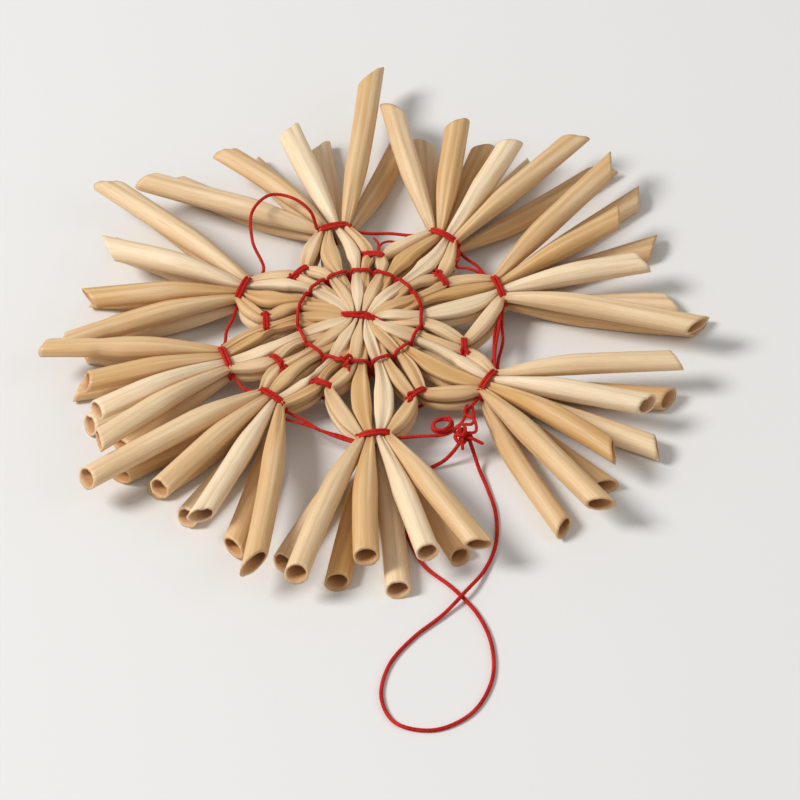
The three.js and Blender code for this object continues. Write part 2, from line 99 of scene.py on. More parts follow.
# Fans clockwise: bearing and radius of the tie, then the free ends of the upper and the lower straws
# as (heading, length, slope of the cut, roll of its long side, rise of the tip).
FANS = (
    (123.5, 15.6,
     ((167, 22.2, 0.7, 20), (151, 18.6, 0.6, 160), (127, 17.9, 0.9, 150), (105, 23.3, 1.1, 20)),
     ((158, 20, 0.6, 200), (139, 18, 0.6, 340), (116, 19, 0.7, 200), (97, 17, 0.6, 340))),
    (69, 16.3,
     ((126, 23, 0.8, 10), (103, 18, 0.6, 20), (78, 17, 0.5, 190), (50, 25, 1.2, 190)),
     ((115, 22, 0.6, 340), (92, 17, 0.6, 200), (66, 16.5, 0.7, 200), (35, 17, 0.6, 340))),
    (21.5, 17.4,
     ((71, 20.5, 0.9, 20), (50, 18, 0.6, 190), (29, 17, 0.5, 200), (14, 22.3, 0.8, 190)),
     ((61, 17.8, 0.6, 340), (40, 18, 0.6, 200), (21, 18, 0.7, 340), (5, 23.5, 0.9, 190))),
    (-15, 17.7,
     ((18, 23, 1.2, 10), (1, 18.2, 0.7, 10), (-22, 17.8, 0.5, 200), (-48, 24.5, 0.8, 10)),
     ((9, 24, 0.9, 10), (-9, 21, 0.8, 20), (-32, 21, 0.7, 200), (-40, 24, 0.7, 340))),
    (-65.5, 18.4,
     ((-31, 22, 0.6, 200), (-49, 19.6, 0.6, 340), (-71, 19.3, 0.9, 200), (-87, 24, 0.8, 10)),
     ((-39, 21, 0.6, 340), (-58, 22, 0.6, 200), (-78, 20, 0.7, 340), (-97, 22, 0.6, 200))),
    (243, 18.3,
     ((268, 21.4, 0.6, 10), (254, 20.2, 0.4, 270), (236, 19.7, 0.4, 270), (218, 23.3, 0.5, 250)),
     ((264, 19, 0.5, 270), (243, 22, 0.4, 270), (226, 20.7, 0.5, 250), (208, 19.5, 0.5, 290))),
    (195, 15.8,
     ((231, 26, 1.3, 190), (213, 20.6, 0.8, 190), (197, 19.8, 0.4, 270), (181, 25, 0.5, 270)),
     ((222, 21, 0.6, 340), (204, 19, 0.5, 270), (189, 18, 0.5, 250), (178, 20, 0.6, 200))),
    (165, 17.1,
     ((189, 20.4, 0.6, 340, 1.8), (177, 17.7, 0.4, 270, 0.8), (162, 17.1, 0.5, 290), (146, 21.3, 0.7, 20)),
     ((183, 16, 0.5, 250), (170, 18, 0.5, 270), (154, 18, 0.6, 340), (138, 17, 0.6, 200))),
)

RAYS = len(FANS) * FAN_RAYS

# Pair ties clockwise, each between a fan and the next: bearing, radius, way of its straws.
PAIR_TIES = (
    (98.5, 10.9, 99), (47, 10.7, 47), (0, 11.9, -3), (-51.5, 13.4, -33),
    (-92, 13.8, -91), (-145.5, 11.3, -149), (179.8, 11.8, 180), (147, 11.4, 147),
)

# The hanging loop over the surface that the star lies on, with heights above the middle plane. It
# leaves the knot, runs past the tips of the sixth fan, turns and comes back between that fan's lower
# straws, crossing under itself once.
LOOP_ROUTE = (
    (1.3, -22.3, -0.5), (1.1, -23.4, -1.5), (0.7, -25.2, -2.7), (0, -28, -3), (-1.4, -32, -3),
    (-4, -36, -3), (-7.4, -38.8, -2.85), (-11.2, -40.6, -2.4), (-15.2, -41.8, -2.85), (-20, -42.7, -3),
    (-24.6, -44.6, -3), (-28, -48.2, -3), (-28.7, -52.4, -3), (-25.6, -55.8, -3),
    (-20.7, -56.2, -3), (-16, -53.4, -3), (-13, -48.8, -3), (-11.8, -44, -3),
    (-12, -39, -3), (-12.9, -34, -3), (-12.1, -29.4, -3), (-11, -25.2, -3),
    (-10.1, -22.6, -3), (-8.6, -21.1, -3), (-6.4, -21, -3), (-4, -21.6, -2.9),
    (-2.2, -22, -2.3), (-0.8, -22.1, -1.3), (0.2, -22, -0.4),
)

# The plan's origin, on the middle plane between the layers.
HUB = sum((Vector(corner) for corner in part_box("centre_tie")), Vector()) / 2 / MM - UP * DOME

# ---- Plan geometry ----


def heading(bearing):
    return Vector((math.cos(math.radians(bearing)), math.sin(math.radians(bearing)), 0))


def left_of(bearing):
    return heading(bearing + 90)


def raised(way, angle):
    return way * math.cos(math.radians(angle)) + UP * math.sin(math.radians(angle))


def place(bearing, along, left=0.0):
    return heading(bearing) * along + left_of(bearing) * left


def mix(a, b, share):
    return a + (b - a) * share


def smoothstep(x, low, high):
    x = min(1.0, max(0.0, (x - low) / (high - low)))
    return x * x * (3 - 2 * x)


def dome(radius):
    return DOME * (1 - smoothstep(radius, RING.radius, FANS[0][1]))


def pair_tie_of(fan, side):
    return PAIR_TIES[(fan + len(FANS) - 1) % len(FANS) if side > 0 else fan]


def bowed(start, end, bow):
    left = UP.cross((end - start).normalized())
    return lambda t: start.lerp(end, t) + left * (4 * bow * t * (1 - t))


def bezier(a, b, c, d):
    return lambda t: a * (1 - t) ** 3 + b * (3 * t * (1 - t) ** 2) + c * (3 * t * t * (1 - t)) + d * t ** 3


def ray_spans(ray, layer):
    """The spans of a ray from the middle outwards, with the squeeze at both ends of each."""
    fan, slot = divmod(ray, FAN_RAYS)
    forward = ray < RAYS // 2
    order = ray if forward else RAYS - 1 - ray
    column, inner = divmod(order, 2)
    ring_bearing = FIRST_RAY - (360 / RAYS) * (2 * (ray // 2) + 0.5)
    at_ring = place(ring_bearing, RING.radius, RING.pitch * (0.5 if ray % 2 == 0 else -0.5))
    start = place(BUNDLE.bearing, 0, BUNDLE.pitch * ((BUNDLE.columns - 1) / 2 - column))
    outwards = BUNDLE.bearing + (0 if forward else 180)
    row = layer * BUNDLE.row * (0.5 if inner else 1.5)
    disc = bezier(start, start + heading(outwards), at_ring * DISC_TURN, at_ring)
    bearing, radius, upper, lower = FANS[fan]
    at_tie = place(bearing, radius, TIE.pitch * ((FAN_RAYS - 1) / 2 - slot))
    side = 1 if slot < FAN_RAYS / 2 else -1
    way, length, slope, roll, *rise = (upper if layer > 0 else lower)[slot]
    spans = [SimpleNamespace(kind="disc", plan=disc, start=BUNDLE, end=RING, row=row)]
    pair_bearing, pair_radius, pair_way = pair_tie_of(fan, side)
    if slot in (0, FAN_RAYS - 1):
        at_pair = place(pair_bearing, pair_radius) + left_of(pair_way) * (-side * PAIR.pitch / 2)
        first = bowed(at_ring, at_pair, -side * PETALS["inner"].bow)
        second = bowed(at_pair, at_tie, side * PETALS["outer"].bow)
        spans.append(SimpleNamespace(kind="inner", plan=first, start=RING, end=PAIR))
        spans.append(SimpleNamespace(kind="outer", plan=second, start=PAIR, end=TIE))
    else:
        spread = abs((pair_bearing - bearing + 180) % 360 - 180) / (180 / len(FANS))
        plan = bowed(at_ring, at_tie, side * PETALS["direct"].bow * min(1, spread))
        spans.append(SimpleNamespace(kind="direct", plan=plan, start=RING, end=TIE))
    tip = at_tie + heading(way) * length
    spans.append(SimpleNamespace(
        kind="free", plan=lambda t: at_tie.lerp(tip, t), length=length, slope=slope, roll=roll,
        rise=rise[0] if rise else 0,
    ))
    for span in spans:
        span.layer, span.ray = layer, ray
        span.pair = (pair_bearing, pair_radius)
    return spans


def section(span, t):
    """Place, width and height of a straw at one spot of a span, before its neighbours squash it."""
    at = span.plan(t)
    lift = dome(at.length)

    def stacked(height):
        return span.layer * (LAYER_GAP + height) / 2 + lift

    if span.kind == "disc":
        merge = smoothstep(t, ROWS_MERGE, 1)
        height = mix(BUNDLE.height, RING.height, smoothstep(t, WEDGE.rises, 1))
        wedge = min(WEDGE.gain * at.length + WEDGE.start, WEDGE.widest)
        width = max(BUNDLE.width, mix(wedge, RING.width, smoothstep(t, WEDGE.narrows, 1)))
        return at, width, height, mix(span.row + lift, stacked(height), merge)
    if span.kind == "free":
        opening = 1 - (1 - min(1, t * span.length / FLARE.length)) ** FLARE.ease
        height = mix(TIE.height, STRAW_DIAMETER, opening)
        return at, mix(TIE.width, STRAW_DIAMETER, opening), height, stacked(height) + span.rise * t
    petal = PETALS[span.kind]
    swell = math.sin(math.pi * t) ** SWELL
    height = mix(mix(span.start.height, span.end.height, t), petal.height, swell)
    width = mix(mix(span.start.width, span.end.width, t), petal.width, swell)
    return at, width, height, stacked(height)


LAYERS = {layer: [ray_spans(ray, layer) for ray in range(RAYS)] for layer in (1, -1)}
LINE_STEPS = 12


def plan_line(spans):
    """A ray's way beyond the ring, for measuring the room between neighbours."""
    points = []
    for span in spans:
        if span.kind != "disc":
            for i in range(LINE_STEPS + 1):
                point = span.plan(i / LINE_STEPS)
                point.z = getattr(span, "rise", 0) * i / LINE_STEPS
                points.append(point)
    return points


LINES = {layer: [plan_line(spans) for spans in rays] for layer, rays in LAYERS.items()}


def nearest(line, at):
    best = math.inf
    for a, b in zip(line, line[1:]):
        if a != b:
            foot, share = intersect_point_line(at, a, b)
            foot = a if share < 0 else b if share > 1 else foot
            best = min(best, (foot - at).length)
    return best


def room_beside(span, t, at):
    here = Vector((at.x, at.y, getattr(span, "rise", 0) * t))
    rays = LINES[span.layer]
    room = min(nearest(rays[(span.ray + step) % RAYS], here) for step in (1, RAYS - 1))
    if span.kind == "direct":
        reach = (PAIR.pitch + PAIR.width) / 2 + BESIDE_PAIR_TIE
        room = min(room, 2 * ((place(*span.pair) - here).length - reach))
    return room


# ---- Straws ----

STEP = 0.45  # between two rings of a straw
SIDES = 22
LEAST_TIP = SimpleNamespace(share=0.86, fades_in=(0.45, 0.8))  # of its width, where another crosses it
CHORDS = 8  # that the length of a span is measured by
SMOOTHINGS = 3  # of a straw's middle line, so that it has no kink at a thread
HOLLOW = 8.5  # how deep the open end of a straw is modelled

# How the section of a straw is crushed: how square it is when fully crushed, the share of that in a
# petal, and how far from a thread it fades on a free end.
CRUSH = SimpleNamespace(square=0.74, petal=0.75, reach=2.6)

# Lengthwise folds, which are deepest beside a thread: the ranges of the place across the straw, of
# the width and the depth as shares of half the straw, and of the reach from a thread.
FOLD = SimpleNamespace(place=(-0.75, 0.75), width=(0.14, 0.3), depth=(0.2, 0.5), reach=(2, 6.5))
FOLDS_ABOVE, FOLDS_BELOW = 3, 2
DEEPEST_FOLD = 0.62  # as a share of half the straw
TIP_DENT = SimpleNamespace(place=(-0.6, 0.6), width=(0.15, 0.35), depths=(0, 0, 0, 0.28), rise=5)
FLUTE = SimpleNamespace(counts=(5, 6, 7), depth=0.022, twist=0.04)  # shallow ridges all round

# A free end: the ranges of its thickness, sway and arch, and of how high its tip stays under the
# scissors, in the front fans and in the others; how much a squeezed tip widens; and the length over
# which the thickness comes in.
FREE_END = SimpleNamespace(
    girth=(0.82, 0.93), sway=(-0.4, 0.4), arch=(-0.2, 0.35), front=(0.78, 0.95), other=(0.58, 0.88),
    widening=0.3, lead_in=5,
)
FRONT_FANS = (180, 300)  # the bearings that they lie between
CUT = SimpleNamespace(reach=3.4, ragged=0.09, ragged_scale=2.5)  # how far it shears, its uneven rim
CREASE_SHADE = SimpleNamespace(deepest=0.75, reach=1.5)  # painted shade that darkens the straw beside a thread
TONE_DRIFT = SimpleNamespace(ends=0.6, noise=0.5, noise_length=9)  # how the tone changes along a straw


def half_straw(ray, layer):
    """Samples of half a straw from the middle outwards."""
    samples = []
    for span in LAYERS[layer][ray]:
        stops = [span.plan(i / CHORDS) for i in range(CHORDS + 1)]
        length = sum((b - a).length for a, b in zip(stops, stops[1:]))
        steps = max(4, round(length / STEP))
        for i in range(1, steps + 1):
            t = i / steps
            at, width, height, z = section(span, t)
            if span.kind != "disc" and (t < 1 or span.kind == "free"):
                least = LEAST_TIP.share * smoothstep(t, *LEAST_TIP.fades_in) if span.kind == "free" else 0
                width = max(least * width, min(width, SNUG * room_beside(span, t, at)))
            from_tie = (t if span.kind == "free" else min(t, 1 - t)) * length
            samples.append(SimpleNamespace(
                centre=Vector((at.x, at.y, z)), width=width, height=height, t=t, from_tie=from_tie,
                span=span))
    return samples


def straw_samples(ray, layer):
    ahead, behind = half_straw(ray, layer), half_straw(RAYS - 1 - ray, layer)
    span = LAYERS[layer][ray][0]
    at, width, height, z = section(span, 0)
    middle = SimpleNamespace(
        centre=Vector((at.x, at.y, z)), width=width, height=height, t=0, from_tie=0, span=span)
    samples = behind[::-1] + [middle] + ahead
    for _ in range(SMOOTHINGS):
        centres = [s.centre.copy() for s in samples]
        for i in range(1, len(samples) - 1):
            samples[i].centre = (centres[i - 1] + 2 * centres[i] + centres[i + 1]) / 4
    return samples


def sweep(mesh, rings):
    """Rolls a grid up into a tube through a row of rings of points. The seam is welded and the ends
    are closed when the piece is finished. Returns the points, row by row, with the first repeated."""
    sides = len(rings[0])
    made = bmesh.ops.create_grid(mesh, x_segments=sides, y_segments=len(rings) - 1, size=1)["verts"]
    for index, vert in enumerate(made):
        row, k = divmod(index, sides + 1)
        vert.co = rings[row][k % sides]
    return made


def bell(offset, width):
    return math.exp(-((offset / width) ** 2))


def squarish(value, power):
    """Bends a circle's sine or cosine: at 1 the circle stays, below it is squarer."""
    return math.copysign(abs(value) ** power, value)


def drawn(dice, *limits):
    return tuple(dice.uniform(*pair) for pair in limits)


def ring_points(sample, along, folds, shrink=0.0):
    """One ring of a straw: a squashed tube with lengthwise folds that are deepest beside a thread."""
    right = along.cross(UP).normalized()
    up = right.cross(along).normalized()
    w, h = sample.width / 2 - shrink, sample.height / 2 - shrink
    crush = {"disc": 1.0, "free": bell(sample.from_tie, CRUSH.reach)}.get(sample.span.kind, CRUSH.petal)
    square = mix(1.0, CRUSH.square, crush)
    points = []
    for k in range(SIDES):
        angle = 2 * math.pi * k / SIDES - math.pi / 2
        c, s = math.cos(angle), math.sin(angle)
        across = squarish(c, square)
        x, z = w * across, h * squarish(s, square)
        depth = 0.0
        for spot, width, deep, reach in folds.above if s > 0 else folds.below:
            depth += deep * bell(across - spot, width) * bell(sample.from_tie, reach)
        if sample.span.kind == "free" and s > 0:
            spot, width, deep = folds.tip
            depth += deep * sample.t ** TIP_DENT.rise * bell(across - spot, width)
        z -= math.copysign(min(depth, DEEPEST_FOLD) * h * abs(s), s)
        flute = FLUTE.depth * math.sin(folds.flutes * angle + folds.phase + FLUTE.twist * sample.from_tie)
        scale = 1 + flute * (1 - shrink * 2)
        points.append(sample.centre + right * (x * scale) + up * (z * scale))
    return points


def straw_folds(dice):
    """Draws the folds, the flutes and the dented tips of one straw."""
    def folds(count):
        return [drawn(dice, FOLD.place, FOLD.width, FOLD.depth, FOLD.reach) for _ in range(count)]

    return SimpleNamespace(
        above=folds(FOLDS_ABOVE), below=folds(FOLDS_BELOW), flutes=dice.choice(FLUTE.counts),
        phase=dice.uniform(0, 6),
        tip=(*drawn(dice, TIP_DENT.place, TIP_DENT.width), dice.choice(TIP_DENT.depths)),
    )


def tangents(samples):
    """The way of a straw at each sample, half as steep as it really is."""
    centres = [s.centre for s in samples]
    reach, steepness = 2, 0.5
    result = []
    for i in range(len(centres)):
        way = centres[min(len(centres) - 1, i + reach)] - centres[max(0, i - reach)]
        way.z *= steepness
        result.append(way.normalized())
    return result


def from_end(samples, end):
    """The numbers of the samples, from one end of the straw to the other. end is 0 or -1."""
    return list(range(len(samples)))[::1 if end == 0 else -1]


def cut_end(samples, rings, alongs, end):
    """Shears the last rings of a straw so that its end is cut obliquely."""
    span = samples[end].span
    outwards = alongs[end] * (1 if end else -1)
    long_side = raised(UP.cross(outwards).normalized(), span.roll)
    reach = CUT.reach * max(1, span.slope)
    for i in from_end(samples, end):
        centre = samples[i].centre
        away = (centre - samples[end].centre).length
        if away > reach:
            break
        share = 1 - away / reach
        ragged = CUT.ragged * share ** 6
        rings[i] = [
            p + outwards * (
                span.slope * share * (p - centre).dot(long_side) + ragged * noise.noise(p * CUT.ragged_scale))
            for p in rings[i]
        ]


def bore_samples(samples, end):
    """The numbers of the samples that the open end reaches to, from the tip inwards."""
    order = from_end(samples, end)
    inner, depth = [], 0.0
    for previous, i in zip([order[0]] + order, order):
        depth += (samples[i].centre - samples[previous].centre).length
        if depth > HOLLOW:
            break
        inner.append(i)
    return inner


def straw_mesh(name, ray, layer, wall, seed):
    """One whole straw. The tube turns in at both tips and ends in a wall at the bottom of each hollow end."""
    dice = random.Random(seed)
    samples = straw_samples(ray, layer)
    for end in (0, -1):
        shape_end(samples, end, dice)
    alongs = tangents(samples)
    folds = straw_folds(dice)
    rings = [ring_points(s, a, folds) for s, a in zip(samples, alongs)]
    first_bore, last_bore = bore_samples(samples, 0)[::-1], bore_samples(samples, -1)
    inside = [ring_points(s, a, folds, shrink=wall) for s, a in zip(samples, alongs)]
    for end in (0, -1):
        cut_end(samples, rings, alongs, end)
        cut_end(samples, inside, alongs, end)
    mesh = bmesh.new()
    # the third layer marks the inside of the open ends, where painted shade darkens the straw
    tone, shade, painted_bore_shade = (mesh.verts.layers.float.new(key) for key in ("tone", "shade", "painted_bore_shade"))
    uv = mesh.loops.layers.uv.new("grain")
    rows = [(samples[i], inside[i], 1.0) for i in first_bore]
    rows += [(sample, ring, 0.0) for sample, ring in zip(samples, rings)]
    rows += [(samples[i], inside[i], 1.0) for i in last_bore]
    made = sweep(mesh, [ring for _, ring, _ in rows])
    base_tone, tone_ends = dice.uniform(-1, 1), dice.uniform(-TONE_DRIFT.ends, TONE_DRIFT.ends)
    run, spots = 0.0, {}
    for row, (sample, _, within) in enumerate(rows):
        run += (sample.centre - rows[max(0, row - 1)][0].centre).length
        patch = noise.noise(Vector((seed, run / TONE_DRIFT.noise_length, 0)))
        drift = tone_ends * (row / len(rows) - 0.5) + TONE_DRIFT.noise * patch
        for k in range(SIDES + 1):
            vert = made[row * (SIDES + 1) + k]
            vert[tone] = base_tone + drift
            # painted shade: the straw is darkened beside a thread
            vert[shade] = CREASE_SHADE.deepest * bell(sample.from_tie, CREASE_SHADE.reach)
            # painted shade inside the open ends
            vert[painted_bore_shade] = within
            spots[vert] = (k / SIDES, run * MM)
    for face in mesh.faces:
        for loop in face.loops:
            loop[uv].uv = spots[loop.vert]
    return finished(name, mesh)


def shape_end(samples, end, dice):
    """Gives a free end its own thickness and sway, and flattens its tip as scissors do."""
    span = samples[end].span
    facing = FANS[span.ray // FAN_RAYS][0] % 360
    in_front = FRONT_FANS[0] < facing < FRONT_FANS[1]
    height_range = FREE_END.front if in_front else FREE_END.other
    open_share, girth, sway, arch = drawn(dice, height_range, FREE_END.girth, FREE_END.sway, FREE_END.arch)
    whole = samples[end].centre - samples[-1 if end == 0 else 0].centre
    left = left_of(math.degrees(math.atan2(whole.y, whole.x)))
    for i in from_end(samples, end):
        sample = samples[i]
        if sample.span.kind != "free":
            break
        flat = mix(1, open_share, sample.t ** 2)
        before = sample.height
        sample.height = max(min(before, TIE.height), before * girth) * flat
        thinned = mix(1, girth, min(1, sample.from_tie / FREE_END.lead_in))
        sample.width *= thinned * (1 + FREE_END.widening * (1 - flat))
        wave = math.sin(math.pi * sample.t)
        if span.layer < 0:
            sample.centre.z -= (before - sample.height) / 2
        else:
            sample.centre.z += arch * wave
        sample.centre += left * (sway * wave)


WELD = 1e-5  # points closer than this, in millimetres, become one


def added(name, data):
    made = bpy.data.objects.new(name, data)
    bpy.context.scene.collection.objects.link(made)
    return made


def as_object(name, mesh):
    data = bpy.data.meshes.new(name)
    mesh.to_mesh(data)
    mesh.free()
    return added(name, data)


def finished(name, mesh):
    """Turns a bmesh in millimetres about the hub into an object of the scene, in metres."""
    bmesh.ops.remove_doubles(mesh, verts=mesh.verts, dist=WELD)
    bmesh.ops.holes_fill(mesh, edges=[edge for edge in mesh.edges if edge.is_boundary])
    bmesh.ops.recalc_face_normals(mesh, faces=mesh.faces)
    bmesh.ops.transform(mesh, matrix=Matrix.Scale(MM, 4) @ Matrix.Translation(HUB), verts=mesh.verts)
    piece = as_object(name, mesh)
    piece.data.shade_smooth()
    return piece


# ---- Threads ----

PLIES = 3
PLY_STEP = 0.11  # between two rings of a thread
THREAD_SIDES = 9
TWIST = 1.25  # length of one turn of the plies
GROOVE = 0.135  # how deep the plies part, as a share of the thread's radius
TAPER = (0.55, 0.85)  # thickness of the first two rings at an end
CURVE_POINTS = 24  # between two given points, before they are spaced evenly

WRAP_POINTS = 14  # for each turn
WRAP_CORNERS = SimpleNamespace(across=0.62, up=0.72)
KNOT = SimpleNamespace(points=25, start=0.5)
TAIL = SimpleNamespace(rises_at=0.4, rise=0.12, bend=(-0.5, 0.5), curl=0.6)

# Thickness of the finer parts, as shares of the thread.
FINER = SimpleNamespace(
    stitch=0.9, stitch_end=0.8, ring_knot=0.9, ring_tail=0.8, pair_knot=0.8, pair_tail=0.75, strand=0.92,
    fan_knot=0.8, curl=0.9, loop_tail=0.9,
)

# Wound threads: turns, where they start, how far they wander along the straws in a turn, and how far
# out they run beside and above them. Half the thread is added above in the pair and fan ties.
CENTRE_TIE = SimpleNamespace(turns=2.4, start=-100, drift=0.42, beside=0.1, above=0.16)
PAIR_TIE = SimpleNamespace(turns=1.9, start=-60, drift=0.36, beside=0.06, above=-0.02)
FAN_TIE = SimpleNamespace(turns=2.05, start=-95, drift=0.44, beside=0.1, above=-0.02)

# The last turn of the centre tie and its cut end, with heights from the top of the stitch.
STITCH_TOP = 0.34  # above the straws
STITCH = ((1.2, -0.9, -0.25), (0.6, -0.2, 0), (-0.4, 0.35, 0.05), (-1.3, 1.25, -0.2), (-1.6, 1.9, -0.75))
STITCH_END = ((1.2, -1, -0.3), (1.75, -1.7, -0.55), (2.1, -2.6, -0.75))

# The ring thread: how far it presses into the straws at the top and beside a pair, how far out of
# the ring's radius it lies, how it rises over a pair, and how its rounds part (as a share of the
# thread) and dip in a gap.
RING_THREAD = SimpleNamespace(top_press=0.04, side_press=0.06, out=0.1, crown=0.1, part=0.3, dip=0.35)
RING_KNOT = SimpleNamespace(reach=0.75, rise=0.1, spin=20)
RING_TAILS = ((150, 1.5, 0.1), (250, 1.9, 0.6))  # way, length, how far the end drops
PAIR_KNOT = SimpleNamespace(reach=0.6, inset=0.05, height=0.8)
PAIR_TAIL = SimpleNamespace(turn=(40, 80), length=(0.9, 1.7), drop=0.5)

# The fan tie thread between the fans: a slack arch at the back, a tangle and a curl at the front,
# elsewhere strands that sag by these measures and bulge outwards in the middle.
STRAND = SimpleNamespace(start=0.1, quarter=0.25, middle=0.4, outwards=0.3)
ARCH = (
    (-5.1, 13.9, 1.2), (-4.4, 17.4, 2.9), (-2.3, 20.7, 4.1), (0.8, 21.6, 4.4), (3, 19.8, 4.1),
    (4, 17.4, 3.2),
)
ARCH_LANDING = 0.8  # as a share of the tie's half height
TANGLE = ((3.4, -18.9, 0.4), (1.4, -20.3, 0.5), (-0.8, -20.7, 0.4), (-3.6, -19, 0.2))
BETWEEN_FANS = {0: ARCH, 4: TANGLE}  # by the number of the fan that the strand leaves
FAN_KNOT = SimpleNamespace(reach=0.62, inset=0.1, height=0.35)
CURL = SimpleNamespace(
    place=Vector((-0.7, -19.5, 0.6)), points=37, per_turn=12, start=0.6, radius=1.15, squash=0.9,
    waver=(0.14, 0.9), wave=(0.25, 0.25), lift=0.012,  # the first two as size and rate
)

# Slack strands beside the ties: thickness as a share of the thread, then their points.
SLACK = (
    (0.8, ((-15.7, -7.2, 0.3), (-13.6, -10.6, 0.5), (-12, -13.6, 0.4), (-10.3, -16.4, 0.5))),
    (0.9, ((15.9, 5, 0.4), (16.4, 3.2, 0.9), (15, 1.5, 0.6), (15.9, 0.2, 0.8), (17.1, -1.8, 0.6),
           (17.7, -3.4, 0.8))),
    (0.8, ((15.4, 3.6, 0.2), (14.5, 2.4, 0.9), (15.6, 1.9, 1.1), (15.2, 3, 0.6), (14.2, 1.2, 0.3))),
    (0.9, ((15.4, -7.6, 0.5), (13.3, -10.4, 0.7), (11.4, -12.6, 0.5), (9.5, -15.4, 0.9))),
    (0.9, ((15.1, -8.2, 0.1), (12.9, -10.2, 0.3), (11, -12.9, 0.2), (9.2, -15.2, 0.5))),
    (0.7, ((7.8, 7.9, 1.9), (8.7, 8.8, 1.9), (9.8, 9, 1.6), (10.9, 8.6, 1.2))),
    (0.7, ((7.9, 8.2, 1.8), (8.7, 9.4, 1.6), (9, 10.9, 1.1))),
    (0.9, ((3.6, -18.4, 0.8), (2.4, -19.6, 1), (2.9, -21, 0.8), (2.1, -22.4, 0.5), (0.9, -21.9, 0.6))),
    (0.9, ((4.4, -18.2, 0.2), (3.2, -20.4, 0.4), (2.2, -21.4, 0.9), (1, -20.6, 0.8), (-0.2, -20.9, 0.5))),
)

# Two small knots on each other hold the hanging loop: place, reach, the way they face, spin.
LOOP_KNOT = Vector((0.75, -21.85, 0.1))
LOOP_KNOTS = (
    (LOOP_KNOT, 1.05, Vector((0.2, -1, 0.3)), 30),
    (LOOP_KNOT + Vector((-0.1, 0.5, 0.2)), 0.8, Vector((1, 0.2, 0.6)), 0),
)
LOOP_TAILS = ((300, 2.6, 0.4), (225, 1.8, 0.5))  # way, length, how far the end drops

SEEDS = SimpleNamespace(ring=3, fans=11, loop=5, pairs=20, straws_apart=100)


def centripetal(p0, p1, p2, p3):
    """Points of a centripetal curve from the second of four points to the third, all apart."""
    t1 = (p1 - p0).length ** 0.5
    t2 = t1 + (p2 - p1).length ** 0.5
    t3 = t2 + (p3 - p2).length ** 0.5
    points = []
    for i in range(CURVE_POINTS):
        t = mix(t1, t2, i / CURVE_POINTS)
        a1 = p0 * ((t1 - t) / t1) + p1 * (t / t1)
        a2 = p1 * ((t2 - t) / (t2 - t1)) + p2 * ((t - t1) / (t2 - t1))
        a3 = p2 * ((t3 - t) / (t3 - t2)) + p3 * ((t - t2) / (t3 - t2))
        b1 = a1 * ((t2 - t) / t2) + a2 * (t / t2)
        b2 = a2 * ((t3 - t) / (t3 - t1)) + a3 * ((t - t1) / (t3 - t1))
        points.append(b1 * ((t2 - t) / (t2 - t1)) + b2 * ((t - t1) / (t2 - t1)))
    return points


def evenly(points, step):
    """Points about a step apart along a line of points."""
    total = sum((b - a).length for a, b in zip(points, points[1:]))
    count = max(3, round(total / step))
    even, gone, index = [], 0.0, 0
    for i in range(count + 1):
        want = total * i / count
        while index < len(points) - 2 and gone + (points[index + 1] - points[index]).length < want:
            gone += (points[index + 1] - points[index]).length
            index += 1
        leg = (points[index + 1] - points[index]).length
        even.append(points[index].lerp(points[index + 1], (want - gone) / leg if leg else 0))
    return even


def spline(points, step):
    """Even points along a smooth curve through the given points."""
    points = [Vector(p) for p in points]
    points = [points[0] * 2 - points[1]] + points + [points[-1] * 2 - points[-2]]
    dense = [p for four in zip(points, points[1:], points[2:], points[3:]) for p in centripetal(*four)]
    return evenly(dense + [points[-2]], step)


def lay_thread(mesh, points, diameter):
    """Adds one twisted thread along a path, with tapered, closed ends. Returns its ring centres."""
    path = spline(points, PLY_STEP)
    side = (path[1] - path[0]).orthogonal().normalized()
    rings, gone = [], 0.0
    for i, centre in enumerate(path):
        along = (path[min(i + 1, len(path) - 1)] - path[max(i - 1, 0)]).normalized()
        side = (side - along * side.dot(along)).normalized()
        other = along.cross(side)
        if i:
            gone += (centre - path[i - 1]).length
        from_tip = min(i, len(path) - 1 - i)
        taper = TAPER[from_tip] if from_tip < len(TAPER) else 1
        ring = []
        for k in range(THREAD_SIDES):
            angle = 2 * math.pi * k / THREAD_SIDES
            ply = abs(math.cos(PLIES / 2 * (angle - 2 * math.pi * gone / TWIST)))
            radius = diameter / 2 * (1 - GROOVE + GROOVE * ply) * taper
            ring.append(centre + (side * math.cos(angle) + other * math.sin(angle)) * radius)
        rings.append(ring)
    sweep(mesh, rings)
    return path


def wrap_points(bearing, radius, way, half_width, half_height, tie):
    """Points of a thread wound round a stack of straws, squarish and tight, that wanders along them."""
    centre = place(bearing, radius) + UP * dome(radius)
    points = []
    count = round(WRAP_POINTS * tie.turns)
    for i in range(count + 1):
        angle = math.radians(tie.start + 360 * tie.turns * i / count)
        c, s = math.cos(angle), math.sin(angle)
        x, z = half_width * squarish(c, WRAP_CORNERS.across), half_height * squarish(s, WRAP_CORNERS.up)
        wandered = tie.drift * (i / count - 0.5) * tie.turns
        points.append(centre + left_of(way) * x + UP * z + heading(way) * wandered)
    return points


def lay_knot(mesh, centre, reach, size, facing=UP, spin=0.0):
    """Adds a small overhand knot, drawn as a trefoil, which is 3 in radius before it is scaled."""
    basis = facing.to_track_quat("Z", "Y").to_matrix() @ Matrix.Rotation(math.radians(spin), 3, "Z")
    points = []
    for i in range(KNOT.points):
        t = 2 * math.pi * i / KNOT.points + KNOT.start
        x, y = math.sin(t) + 2 * math.sin(2 * t), math.cos(t) - 2 * math.cos(2 * t)
        points.append(centre + basis @ (Vector((x, y, -1.5 * math.sin(3 * t))) * (reach / 3)))
    lay_thread(mesh, points, size)


def stack(one):
    """Half the height of two straws on each other, where a thread squeezes them."""
    return (LAYER_GAP + 2 * one.height) / 2


